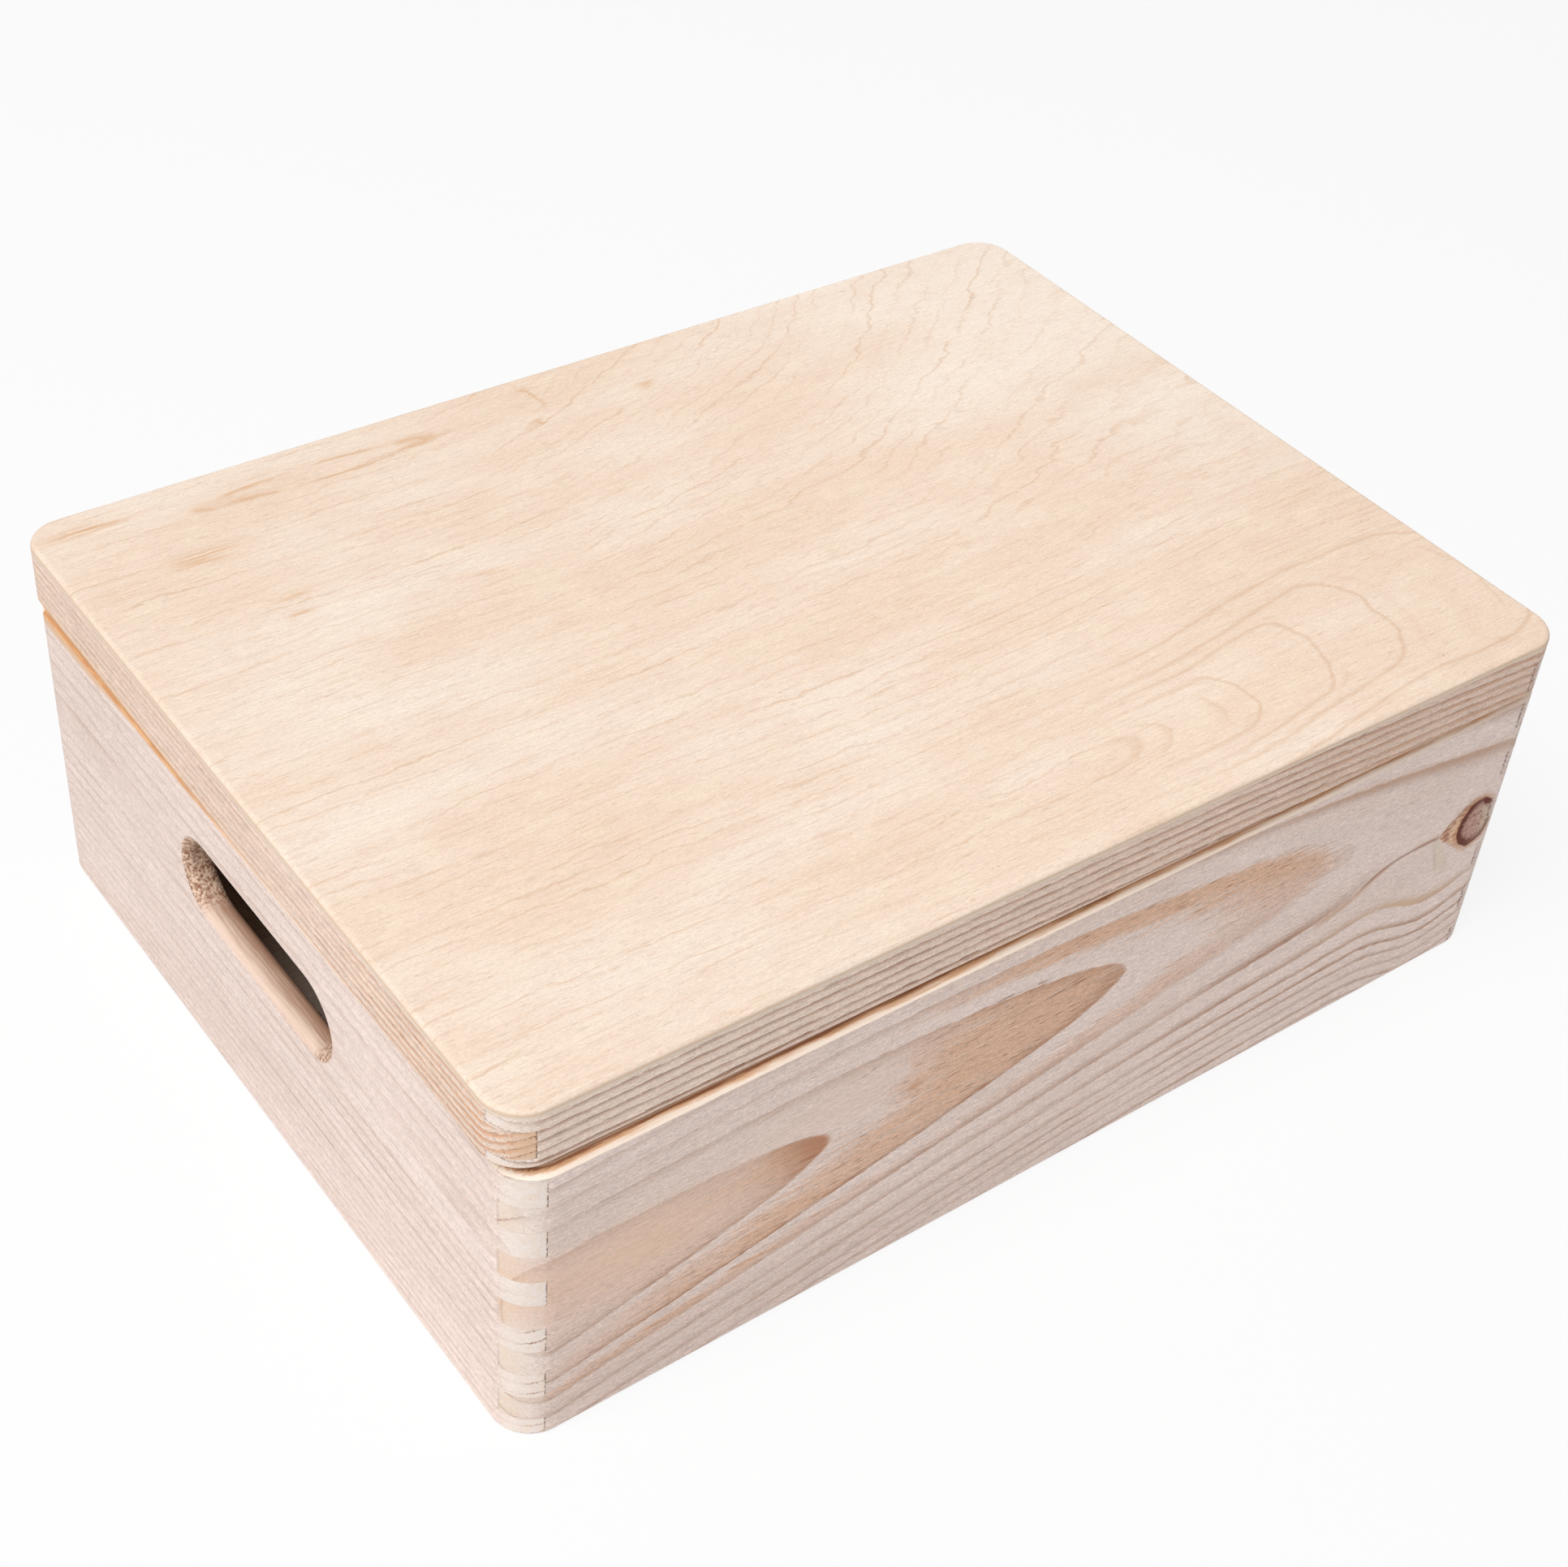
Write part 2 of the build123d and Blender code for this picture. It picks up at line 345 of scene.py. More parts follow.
class Board(Wood):
    """A pine board: where each point of it lay in the log, and what has been painted so far.

    u, v and w run along the grain, up the board and into it from its outer face, in millimetres.
    The growth rings are circles about the pith, a slightly bent line. pith_height and pith_depth
    give that line as polynomials of u. rings pairs distances from the pith with ring numbers.
    wobble scales the larger unevenness, and push is how far the rings are bent down.
    """

    roughness, bump_mm, bump_strength = 0.62, 0.16, 0.6

    def __init__(self, name, side, seed, pith_height, pith_depth, rings, on_lid=False, wobble=1.0, push=None):
        self.surface = Surface(name)
        self.seed = seed
        self.u, self.v, self.w, end = self.place(side, on_lid)
        self.end = smooth(0.55, 0.9, absolute(end))

        bend = self.grain(0.007, 0.02, detail=1.0)
        self.ripple = self.grain(0.03, 0.09)
        self.fibre = self.grain(0.09, 1.7, detail=3.0, roughness=0.6)
        self.fine = self.grain(0.35, 4.5, roughness=0.6)
        rise = self.v - polynomial(self.u, pith_height) + bend * (BEND_REACH * wobble)
        rise = rise + self.ripple * (RIPPLE_REACH * wobble)
        rise = rise + self.fibre * FIBRE_REACH + self.fine * FINE_REACH
        if push:
            rise = rise + push(self.u, self.v)
        back = polynomial(self.u, pith_depth) - self.w + self.ripple * (RIPPLE_DEPTH_REACH * wobble)
        self.radius = root(rise * rise + back * back)
        count = curve_of(self.radius, rings)
        number = floor_of(count)
        self.phase = count - number
        self.chance = random_of(number, seed)

    def place(self, side, on_lid):
        """Along the grain, up, into the board, and the normal's part along the grain."""
        s = self.surface
        x, y = s.lid_place() if on_lid else (s.x, s.y)
        if side == "front":
            return x + LENGTH / 2, s.z, y + DEPTH / 2, s.nx
        if side == "back":
            return LENGTH / 2 - x, s.z, DEPTH / 2 - y, s.nx
        if side == "left":
            return DEPTH / 2 - y, s.z, x + LENGTH / 2, s.ny
        return y + DEPTH / 2, s.z, LENGTH / 2 - x, s.ny

    def grain(self, along, across, detail=2.0, roughness=0.5):
        """Noise drawn out along the grain. along and across are its steps for each millimetre."""
        return noise(self.u * along + self.seed, self.v * across, self.w * across, detail, roughness)

    def specks(self, along, up, inward, detail=3.0, roughness=0.7):
        """Noise with its own step for each millimetre along, up and into the board."""
        return noise(self.u * along, self.v * up, self.w * inward, detail, roughness)


def paint_rings(board, tones, line=1.0, brown=0.0, outline=0.0, lead=0.0, streaks=1.0, blur=0.0):
    """Early wood with its late wood lines. brown widens the late wood of the inner rings.

    line, brown, outline, streaks and blur are strengths, plain numbers or formulas over the board.
    lead is how much earlier in a ring, as a share of it, the brown begins. blur softens its end.
    """
    light, tan, late, dark = tones
    cooler = tuple(value - fall for value, fall in zip(light, (6, 7, 8)))
    patches = board.grain(0.012, 0.05)
    board.base = mix_colour(smooth(-0.2, 0.2, patches), light, cooler)

    before_next = smooth(1.0, RING_ENDS, board.phase)
    streak = board.grain(0.035, 0.6, detail=3.0, roughness=0.6)
    begun = smooth(BROWN_BEGINS, BROWN_FULL, board.phase + lead + streak * 0.7)
    broad = clamped(begun * before_next * brown * (1.0 + streak * 2.5))
    narrow = power(smooth(LATE_BEGINS, LATE_FULL, board.phase), 1.8) * before_next
    board.late = clamped(narrow * line * (0.55 + board.chance * 0.6) * (1.0 - broad * 0.75 - blur * 0.2))
    soft_end = smooth(1.0, OUTLINE_BEGINS, board.phase + streak * 0.5)
    broad = broad * (soft_end * blur + 1.0 - blur)
    edge = smooth(OUTLINE_BEGINS, RING_ENDS, board.phase) * before_next
    board.paint(broad, tan)
    board.paint(board.late, late)
    board.paint(edge * outline * (1.0 + streak * 4.0), dark)

    dashes = board.grain(0.15, 1.8, detail=1.5)
    board.dashes = smooth(0.09, 0.21, dashes) * (0.22 + broad * 0.65) * streaks
    board.paint(board.dashes, dark)
    board.grit = board.specks(0.9, 1.2, 1.2, detail=4.0, roughness=0.8)
    shade = 1.0 + board.fibre * (0.66 * streaks) + board.fine * (0.95 * streaks) + board.grit * 0.95
    board.base = brightened(board.base, shade)
    board.height = board.fibre * 0.6 + board.fine * 0.5 + board.grit * 0.5
    board.height = board.height + board.late * 0.25 - board.dashes * 0.6


def paint_end_grain(board, tones=END_PALE, share=0.9, arcs=0.6, dirt=0.9):
    """Paler sawn ends with the rings as thin arcs and rows of dots, and dirt along the joint.

    arcs and dirt are strengths, plain numbers or formulas over the board.
    """
    pale, arc = tones
    warmer = tuple(value - fall for value, fall in zip(pale, (3, 14, 28)))
    blotch = board.specks(0.2, 0.45, 0.45)
    tone = mix_colour(smooth(-0.12, 0.16, blotch) * 0.7, pale, warmer)
    line = smooth(0.85, 0.95, board.phase) * smooth(1.0, RING_ENDS, board.phase)
    tone = mix_colour(clamped(line * (0.3 + board.chance) * arcs), tone, arc)
    dots = board.specks(0.4, 2.0, 2.0)
    tone = mix_colour(smooth(0.06, 0.20, dots) * 0.6, tone, arc)
    tone = brightened(tone, 1.0 + dots * 0.4)
    board.base = mix_colour(board.end * share, board.base, tone)
    patchy = smooth(-0.08, 0.06, board.specks(0.4, 1.1, 1.0))
    joint = smooth(BOARD_THICKNESS - DIRT_BEGINS, BOARD_THICKNESS - DIRT_FULL, board.w) * board.end
    board.paint(joint * patchy * dirt, JOINT_DIRT)


def paint_right_joint(board, beside_finger):
    """Specks of dirt on a long board, beside the fingers of the right end board."""
    patchy = smooth(-0.05, 0.03, board.specks(1.0, 0.8, 1.0))
    seam = bell(board.u * 1.5 - (LENGTH - BOARD_THICKNESS - RIGHT_DIRT_SETBACK) * 1.5)
    board.paint(seam * beside_finger * patchy * 0.85, RIGHT_JOINT_DIRT)


def paint_corner(board, distance, share):
    """Fingers sanded pale beside a corner. distance is how far the corner is."""
    board.paint(smooth(BOARD_THICKNESS + 1.5, BOARD_THICKNESS - 4.0, distance) * share, FINGER_PALE)


def paint_meeting_bevel(board, seam_shade=None):
    """The bevels where the lid was sawn off the body: painted shade and warm bounce light, browner towards
    the gap, with a pale edge painted brighter where the lid shades it.

    The last argument is the strength of an orange band of painted shade and bounce light over it.
    """
    s = board.surface
    from_gap = absolute(s.z - BODY_HEIGHT - LID_GAP / 2)
    sawn_and_shaded = smooth(0.35, 0.6, absolute(s.nz)) * smooth(MEETING_BEVEL + 0.6, MEETING_BEVEL + 0.2, from_gap)
    flat = smooth(0.90, 0.97, absolute(s.nz))
    tear = board.grain(0.05, 0.8, detail=4.0, roughness=0.7)
    depth = from_gap + tear * 3.0
    # The pale edge: the wood's cream, painted brighter for light that the lid keeps off it
    tone = BEVEL_PAINTED_LIT_PALE
    # An orange band of painted shade and bounce light, where the last argument is above 0
    if seam_shade is not None:
        patchy = mix_colour(smooth(-0.10, 0.12, tear), SEAM_SHADE_DARK, SEAM_SHADE_LIGHT)
        tone = mix_colour(seam_shade, tone, patchy)
    # Painted shade and warm bounce light: tan, then brown, towards the gap
    tone = mix_colour(smooth(1.9, 1.0, depth) * 0.85, tone, BEVEL_SHADE_TAN)
    tone = mix_colour(smooth(1.1, 0.3, depth), tone, BEVEL_SHADE_BROWN)
    tone = mix_colour(flat, tone, BEVEL_FLAT)
    board.base = mix_colour(sawn_and_shaded * (0.95 - flat * 0.4), board.base, tone)


def paint_slot_wall(board):
    """Torn, speckled fibres on the sawn wall of a hand slot, roughest at its ends, and painted shade that
    darkens the wall deeper in the slot.
    """
    s = board.surface
    straight = SLOT_HALF_LENGTH - SLOT_HALF_HEIGHT
    dy = largest(absolute(s.y - SLOT_MIDDLE_Y) - straight, 0.0)
    dz = s.z - SLOT_MIDDLE_Z
    reach = root(dy * dy + dz * dz)
    rim = SLOT_HALF_HEIGHT + SLOT_EDGE_RADIUS
    wall = smooth(rim + 0.3, rim - 1.6, reach) * smooth(0.985, 0.8, absolute(s.nx))
    ends = smooth(1.0, 9.0, dy) * smooth(rim + 0.2, rim - 0.8, reach) * smooth(0.998, 0.95, absolute(s.nx))
    tear = noise(s.x * 0.8, s.y * 0.8, s.z * 0.8, 4.0, 0.75)
    torn = mix_colour(smooth(-0.13, 0.11, tear), TORN_DARK, TORN_PALE)
    along = noise(s.x * 1.2, s.y * 0.05, s.z * 0.8, 3.0, 0.6)
    # Painted shade: the wall darkens from the outer face inward, deeper in the slot
    inward = smooth(0.0, 8.0, board.w + along * 10.0)
    sawn_and_shaded = mix_colour(inward, WALL_OUTER, WALL_INNER_SHADE)
    board.paint(wall * 0.95, sawn_and_shaded)
    board.paint(ends * 0.95, torn)
    board.height = board.height + tear * (wall + ends * 7.0)


def rings_at(*radii):
    """Rings that end at these distances from the pith, and go on as wide as the last one."""
    pairs = [(0.0, 0.0)] + [(radius, float(number)) for number, radius in enumerate(radii, 1)]
    last = radii[-1] - radii[-2]
    return pairs + [(radii[-1] + 10.0 * last, len(radii) + 10.0)]


def even_rings(spacing):
    """Rings of one width, out to 400 mm from the pith."""
    return [(0.0, 0.0), (400.0, 400.0 / spacing)]


# The front board: a flame of rings and a knot near its right end

# Distances from the pith of the three flames' outer edges
FIRST_FLAME = 29.5
SECOND_FLAME = 39.5
THIRD_FLAME = 46.8
FRONT_RINGS = rings_at(17.0, FIRST_FLAME, SECOND_FLAME, THIRD_FLAME,
                       54.0, 61.5, 67.5, 72.0, 76.0, 80.5, 85.0, 89.0)
# Where the second flame's brown begins, along and up, and where the third flame's edge is blurred
RAGGED_EDGE_U = 134.0
RAGGED_EDGE_LOW = 62.0
BLUR_STARTS_U = 190.0
BLUR_FULL_U = 250.0
# Thin dark pores in the brown wood: points along each, as (along, up)
PORES = [
    [(109.0, 87.0), (116.0, 88.6), (123.0, 90.0)],
    [(134.0, 88.0), (141.0, 88.7), (150.0, 88.8)],
    [(161.0, 91.3), (172.0, 90.9), (187.0, 89.4)],
    [(146.0, 78.6), (153.0, 79.4), (161.0, 80.0)],
    [(172.0, 80.6), (187.0, 81.4), (204.0, 81.8)],
    [(170.0, 61.4), (179.0, 61.8), (189.0, 62.0)],
]
PORE_HALF_WIDTH = 0.45
PORE_BROWN = (134, 88, 62)

# Soft ovals on the front: (along, up, half length, half height, slope, strength)
BROWN_PLACES = [
    (185.0, 77.0, 62.0, 24.0, 0.0, 1.15),
    (80.0, 37.0, 85.0, 12.0, 0.30, 0.85),
    (97.0, 70.0, 17.0, 9.0, 0.0, 1.0),
    (45.0, 62.0, 60.0, 22.0, 0.0, 0.5),
    (300.0, 84.0, 42.0, 17.0, -0.08, 0.82),
    (245.0, 56.5, 45.0, 5.0, 0.18, 0.35),
    (215.0, 100.0, 75.0, 8.0, -0.13, 0.8),
]
OUTLINE_PLACES = [
    (90.0, 39.0, 72.0, 9.0, 0.27, 0.55),
    (55.0, 46.0, 45.0, 7.0, 0.33, 0.3),
    (98.0, 68.0, 14.0, 9.0, 0.0, 0.55),
    (185.0, 88.0, 40.0, 10.0, -0.2, 0.2),
    (192.0, 66.0, 40.0, 9.0, 0.2, 0.35),
]
LINE_PLACES = [
    (290.0, 48.0, 45.0, 8.0, 0.25, 0.4),
    (290.0, 65.0, 55.0, 6.0, 0.18, -0.42),
    (335.0, 101.0, 75.0, 7.0, -0.14, 0.2),
    (330.0, 22.0, 90.0, 20.0, 0.0, 0.35),
    (50.0, 97.0, 105.0, 14.0, 0.03, -0.42),
    (90.0, 14.0, 110.0, 17.0, 0.0, -0.2),
    (352.0, 56.0, 25.0, 11.0, 0.0, -1.6),
    (385.0, 58.0, 20.0, 16.0, 0.0, -1.6),
]
UPPER_LINE_PLACES = [(335.0, 102.0, 75.0, 9.0, -0.14, 0.55)]
OLIVE_LINE_PLACES = [(350.0, 37.0, 34.0, 7.0, -0.08, 1.4)]
LEFT_PINK_PLACES = [(38.0, 64.0, 38.0, 14.0, 0.0, 0.55)]
MIDDLE_PINK_PLACES = [(112.0, 80.0, 40.0, 14.0, 0.0, 0.3)]
LOWER_GREY_PLACES = [(90.0, 12.0, 110.0, 17.0, 0.0, 0.6)]
CRESCENT_PLACES = [(101.0, 68.0, 15.0, 8.0, 0.0, 0.8)]
SPOT_PLACES = [(135.0, 72.0, 3.5, 1.6, 0.1, 0.7)]
MIDDLE_FINGER_PLACES = [(0.0, 66.0, 14.0, 17.0, 0.0, 1.0)]
# Their tones
UPPER_LINE_TAN = (210, 170, 142)
OLIVE_LINE = (224, 192, 160)
LEFT_PINK = (250, 214, 188)
MIDDLE_PINK = (242, 208, 186)
LOWER_GREY = (238, 234, 232)
CRESCENT_BROWN = (200, 140, 106)
SPOT_BROWN = (206, 148, 104)
MIDDLE_FINGER_ORANGE = (236, 190, 156)
# The line in the upper right, by its distance from the pith
UPPER_LINE_RADIUS = 53.6
UPPER_LINE_HALF_WIDTH = 0.8

# The knot, and the pointed orange wood on its left
KNOT_U = 381.4
KNOT_V = 60.5
KNOT_HALF_WIDTH = 8.3
KNOT_HALF_HEIGHT = 10.2
KNOT_POINT_U = 363.0
KNOT_WOOD_DARK = (166, 104, 72)
KNOT_WOOD_PALE = (238, 198, 164)
KNOT_WOOD_EDGE = (150, 98, 66)
KNOT_HALO = (206, 148, 106)
HEART_LEFT = (200, 156, 142)
HEART_RIGHT = (226, 204, 180)
HEART_PALE_SPECKS = (246, 216, 206)
HEART_DARK_SPECKS = (116, 70, 60)
BARK_RING = (104, 44, 26)
KNOT_CUT_PALE = (240, 218, 208)
# The finger that cuts the knot's right side: where it begins, and its levels
KNOT_CUT_U = 386.8
KNOT_CUT_LOW = 58.6
KNOT_CUT_HIGH = 68.4
# How the knot bends the grain below it: middle along, half length, how far down it fades, reach
KNOT_HUMP = (350.0, 25.0, 17.0, 15.0)
KNOT_DIP = (366.0, 22.0, 80.0, 14.0)
# Levels where the bends begin and are full
BEND_BEGINS = 78.0
BEND_FULL = 60.0
# The rise of the third flame's upper edge: along, up, half length, half height, reach
FLAME_LIFT = (280.0, 94.0, 40.0, 9.0, 2.8)

# The line that runs into the knot's point, as (along, up), and the resin streak below it
WIDE_LINE = [(305.0, 48.6), (318.0, 51.0), (327.0, 54.6), (334.0, 58.6), (342.0, 61.0)]
THIN_LINE = [(324.0, 53.6), (331.0, 57.8), (339.0, 60.8), (349.0, 62.0), (366.0, 61.6)]
BLURRED_LINE = [(349.0, 62.2), (356.0, 62.6), (368.0, 62.0)]
WIDE_LINE_TAN = (206, 160, 126)
BLURRED_LINE_TAN = (210, 166, 132)
THIN_LINE_BROWN = (150, 96, 74)
RESIN_U = 364.5
RESIN_V = 58.0
RESIN_LEAN = 0.35
RESIN_LOW = 42.0
RESIN_HIGH = 62.0
RESIN_PALE = (226, 211, 182)
RESIN_TAN = (196, 164, 132)
RESIN_SHADE = (200, 160, 136)


def knot_push(u, v):
    """How far the grain is bent down below the knot, less its rise at the third flame, in millimetres."""
    below = largest(KNOT_V - v, 0.0)

    def bend(middle_u, half_length, fade, reach):
        return bell(u - middle_u, half_length) * exponential(below * (-1.0 / fade)) * reach

    middle_u, middle_v, half_length, half_height, reach = FLAME_LIFT
    lift = bell(u - middle_u, half_length) * bell(v - middle_v, half_height) * reach
    return (bend(*KNOT_DIP) - bend(*KNOT_HUMP)) * smooth(BEND_BEGINS, BEND_FULL, v) - lift


def paint_knot(board):
    """A sound knot in its dark bark ring, cut by a finger at the right, and the wood on its left."""
    u, v = board.u, board.v
    du = (u - KNOT_U) * (1.0 / KNOT_HALF_WIDTH)
    dv = (v - KNOT_V) * (1.0 / KNOT_HALF_HEIGHT)
    wave = board.specks(0.14, 0.14, 0.1, detail=2.0, roughness=0.5)
    grit = board.specks(0.6, 0.6, 0.6, detail=4.0, roughness=0.8)
    away = root(du * du + dv * dv) + wave * 0.25 + grit * 0.14
    rim = away - 1.0

    span = KNOT_U - KNOT_POINT_U
    opening = power(clamped((u - KNOT_POINT_U) * (1.0 / span)), 0.8) * (KNOT_HALF_HEIGHT * 1.42)
    opening = smallest(opening, KNOT_HALF_HEIGHT * 0.97)
    beside = absolute(v - KNOT_V - 1.3) / largest(opening, 0.8)
    begun = smooth(KNOT_POINT_U - 0.5, KNOT_POINT_U + 2.0, u) * smooth(KNOT_U + 5.0, KNOT_U - 3.0, u)
    wedge = smooth(1.15, 0.8, beside + grit * 0.7) * begun
    streaky = board.specks(0.22, 0.5, 1.0, roughness=0.75)
    orange = mix_colour(smooth(-0.09, 0.09, streaky), KNOT_WOOD_DARK, KNOT_WOOD_PALE)
    board.paint(wedge * 0.9, orange)
    upper_edge = bell((beside - 0.92) * 5.0) * smooth(KNOT_V, KNOT_V + 5.0, v) * begun
    board.paint(upper_edge * smooth(-0.12, 0.08, streaky) * 0.6, KNOT_WOOD_EDGE)
    board.paint(smooth(0.34, 0.05, rim) * smooth(-0.3, 0.0, rim) * 0.6, KNOT_HALO)

    inside = smooth(0.02, -0.06, rim)
    heart = mix_colour(smooth(-0.2, 0.9, du + dv * 0.2), HEART_LEFT, HEART_RIGHT)
    heart = mix_colour(smooth(0.06, 0.22, grit + wave * 0.2) * 0.6, heart, HEART_PALE_SPECKS)
    heart = mix_colour(smooth(0.03, -0.13, grit) * 0.75, heart, HEART_DARK_SPECKS)
    board.paint(inside, heart)
    leftward = smooth(0.7, -0.7, du)
    blot = bell((u - KNOT_U - 4.5) * 0.4) * bell((v - KNOT_V - 8.3) * 0.6)
    band = smooth(-0.28, -0.12, rim + leftward * 0.06 + blot * 0.1 + grit * 0.9)
    ring = band * smooth(0.06, 0.0, rim)
    board.paint(ring * (0.65 + leftward * 0.4 + blot), BARK_RING)
    cut_off = smooth(KNOT_CUT_U, KNOT_CUT_U + 0.7, u)
    cut_off = cut_off * smooth(KNOT_CUT_LOW, KNOT_CUT_LOW + 0.8, v)
    cut_off = cut_off * smooth(KNOT_CUT_HIGH, KNOT_CUT_HIGH - 0.8, v)
    board.paint(cut_off * smooth(0.2, 0.1, rim) * 0.75, KNOT_CUT_PALE)
    board.height = board.height - ring * 1.2 + inside * 0.4


def paint_line_to_knot(board):
    """The late wood line that runs into the knot's point, and the resin streak below it."""
    u, v = board.u, board.v
    wide = stroke(u, v, WIDE_LINE, half_width=1.5)
    thin = stroke(u, v, THIN_LINE, half_width=0.7)
    blurred = stroke(u, v, BLURRED_LINE, half_width=1.3, fade=3.0)
    board.paint(wide * 0.65, WIDE_LINE_TAN)
    board.paint(blurred * 0.4, BLURRED_LINE_TAN)
    board.paint(thin * 0.7, THIN_LINE_BROWN)
    leaning = u - RESIN_U - (RESIN_V - v) * RESIN_LEAN
    reach = smooth(RESIN_LOW, RESIN_LOW + 5.0, v) * smooth(RESIN_HIGH, RESIN_HIGH - 5.0, v)
    board.paint(bell(leaning, 1.9) * reach * 0.5, RESIN_PALE)
    board.paint(bell(leaning + 2.6, 0.9) * reach * 0.3, RESIN_TAN)
    lower = reach * smooth(RESIN_LOW + 10.0, RESIN_LOW + 4.0, v)
    board.paint(bell(leaning - 2.4, 1.2) * lower * 0.3, RESIN_SHADE)


def front_board():
    """The front: three flames, the knot, and end grain on the fingers."""
    board = Board("pine_front", "front", seed=3.0,
                  pith_height=(54.6, 0.1445, -0.00018, -1.5e-7),
                  pith_depth=(-20.0, -0.0846, -0.000075, 2.4e-7),
                  rings=FRONT_RINGS, wobble=0.35, push=knot_push)
    u, v = board.u, board.v
    line = 0.62 + board.grain(0.02, 0.06) * 0.9 + ovals(u, v, LINE_PLACES)
    upright = board.grain(0.06, 0.12, detail=3.0, roughness=0.7)
    ragged_edge = smooth(RAGGED_EDGE_U, RAGGED_EDGE_U - 10.0, u + upright * 60.0)
    ragged_edge = ragged_edge * smooth(RAGGED_EDGE_LOW, RAGGED_EDGE_LOW + 10.0, v)
    brown = ovals(u, v, BROWN_PLACES) * smooth(THIRD_FLAME + 5.2, THIRD_FLAME + 0.2, board.radius)
    brown = brown * (1.0 - ragged_edge * smooth(FIRST_FLAME - 0.5, FIRST_FLAME + 0.5, board.radius))
    outline = 0.1 + ovals(u, v, OUTLINE_PLACES)
    outline = outline * smooth(SECOND_FLAME + 2.5, SECOND_FLAME + 0.5, board.radius)
    lead = 0.14 + smooth(SECOND_FLAME + 1.5, SECOND_FLAME - 1.5, board.radius) * 0.28
    past_second = smooth(SECOND_FLAME - 0.2, SECOND_FLAME + 0.5, board.radius)
    blur = 0.15 + past_second * smooth(THIRD_FLAME + 0.7, THIRD_FLAME + 0.2, board.radius) * 0.85
    blur = blur * smooth(BLUR_STARTS_U, BLUR_FULL_U, u)
    paint_rings(board, PINE, line, brown, outline, lead, blur=blur)
    upper_line = bell(board.radius - UPPER_LINE_RADIUS, UPPER_LINE_HALF_WIDTH)
    board.paint(upper_line * ovals(u, v, UPPER_LINE_PLACES), UPPER_LINE_TAN)
    board.paint(board.late * ovals(u, v, OLIVE_LINE_PLACES), OLIVE_LINE)
    board.paint(ovals(u, v, LEFT_PINK_PLACES), LEFT_PINK)
    board.paint(ovals(u, v, LOWER_GREY_PLACES), LOWER_GREY, "MULTIPLY")
    first_ring = smooth(FIRST_FLAME - 4.0, FIRST_FLAME - 1.0, board.radius)
    first_ring = first_ring * smooth(FIRST_FLAME + 0.1, FIRST_FLAME - 0.2, board.radius)
    speckled = 0.75 + board.fibre * 2.5 + board.grit * 2.0
    board.paint(ovals(u, v, CRESCENT_PLACES) * first_ring * speckled, CRESCENT_BROWN)
    board.paint(ovals(u, v, MIDDLE_PINK_PLACES) * (1.0 - brown), MIDDLE_PINK)
    broken = smooth(-0.16, 0.06, board.grain(0.2, 0.5))
    for points in PORES:
        board.paint(stroke(u, v, points, PORE_HALF_WIDTH) * broken * 0.65, PORE_BROWN)
    board.paint(ovals(u, v, SPOT_PLACES), SPOT_BROWN)
    paint_line_to_knot(board)
    paint_knot(board)
    middle_fingers = ovals(u, v, MIDDLE_FINGER_PLACES)
    paint_corner(board, u, 0.35 - middle_fingers * 0.3)
    paint_end_grain(board, END_TAN, share=0.7, arcs=0.5 + middle_fingers, dirt=0.2)
    board.paint(middle_fingers * (0.3 + board.fibre), MIDDLE_FINGER_ORANGE)
    beside_finger = smooth(0.49, 0.51, fraction((v - LOWEST_FINGER) * (0.5 / FINGER_PITCH)))
    paint_right_joint(board, beside_finger)
    paint_meeting_bevel(board)
    return board.finish()


# The left end board: fine, even lines

LEFT_RINGS = rings_at(7.8, 12.5, 19.0, 24.3, 29.6, 34.5, 39.5, 44.4, 49.4, 53.3, 57.3, 61.8, 65.8, 69.3, 72.8)
# Places along the board, from the back corner, between which the orange band of painted shade and bounce
# light under the lid fades in
SEAM_SHADE_STARTS_U = 190.0
SEAM_SHADE_FULL_U = 90.0
# The painted band's lower edge on the board, and its tone
SEAM_SHADE_EDGE_V = 106.6
SEAM_SHADE_TAN = (234, 192, 154)
# Where the board is painted brighter towards the front, as painted light, and up to where its fingers show
# arcs
PAINTED_LIGHT_FROM_U = 120.0
PAINTED_LIGHT_FULL_U = 285.0
ARCS_TOP = 56.0
DENSER_LINE_PLACES = [(240.0, 25.0, 90.0, 40.0, 0.0, 0.16)]


